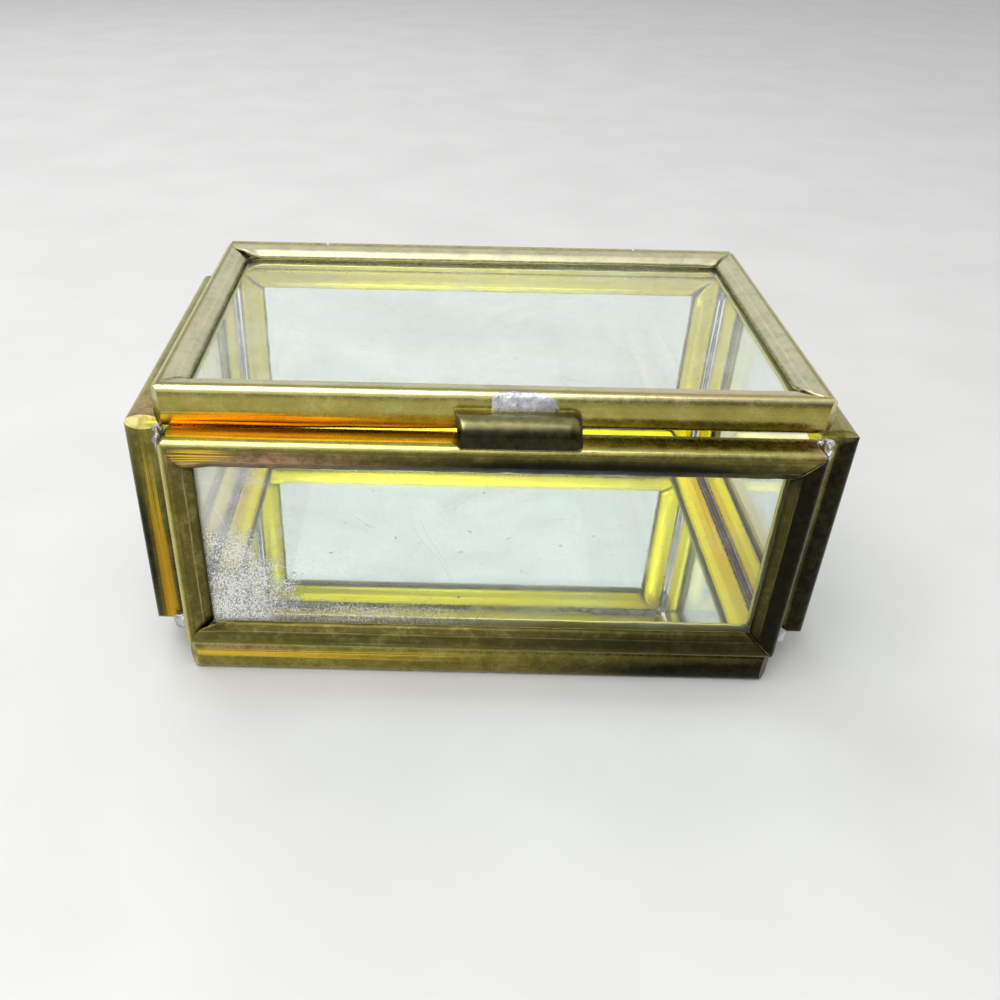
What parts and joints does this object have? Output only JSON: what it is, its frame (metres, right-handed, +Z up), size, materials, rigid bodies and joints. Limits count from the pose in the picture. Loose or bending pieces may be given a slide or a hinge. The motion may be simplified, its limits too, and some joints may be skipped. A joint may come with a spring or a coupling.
{
  "type": "glass casket box",
  "caption": "Small rectangular glass casket: panes edged in folded brass came, soldered corners, mirror floor, hinged glass lid lifted by a short front tab.",
  "frame": {"origin": "middle of the footprint, on the surface the box stands on", "axes": "+Z up out of the lid, +X to the right along the front wall, -Y towards the front where the tab is"},
  "size_m": [0.1036, 0.068, 0.0488],
  "materials": {
    "came_brass": "aged, tarnished",
    "lid_brass": "aged, rubbed satin",
    "knuckle_brass": "dull",
    "pin_brass": "drawn wire",
    "tab_brass": "aged, worn",
    "clear_glass": "clear, smudged",
    "mirror_glass": "clear",
    "silvering": "polished",
    "backing_paint": "matte",
    "solder": "dull, rough"
  },
  "bodies": {
    "box": {"frame_floor": "came_brass", "frame_front": "came_brass", "frame_rear": "came_brass", "frame_left": "came_brass", "frame_right": "came_brass", "mirror_glass": "mirror_glass", "mirror_silver": "silvering", "mirror_backing": "backing_paint", "pane_front": "clear_glass", "pane_rear": "clear_glass", "pane_left": "clear_glass", "pane_right": "clear_glass", "hinge_knuckle_left": "knuckle_brass", "hinge_knuckle_right": "knuckle_brass", "hinge_pin": "pin_brass", "solder_front_left": "solder", "solder_front_right": "solder", "solder_rear_left": "solder", "solder_rear_right": "solder", "solder_floor_front": "solder", "solder_floor_rear": "solder", "solder_hinge_left": "solder", "solder_hinge_right": "solder"},
    "lid": {"frame_lid": "lid_brass", "pane_lid": "clear_glass", "hinge_knuckle_lid": "knuckle_brass", "solder_hinge_lid": "solder", "pull_tab": "tab_brass", "solder_tab": "solder"}
  },
  "joints": [
    {"name": "lid_hinge", "type": "hinge", "parent": "box", "child": "lid", "pos_m": [0, 0.03125, 0.0461], "axis": [-1, 0, 0], "range_deg": [0, 195]}
  ]
}
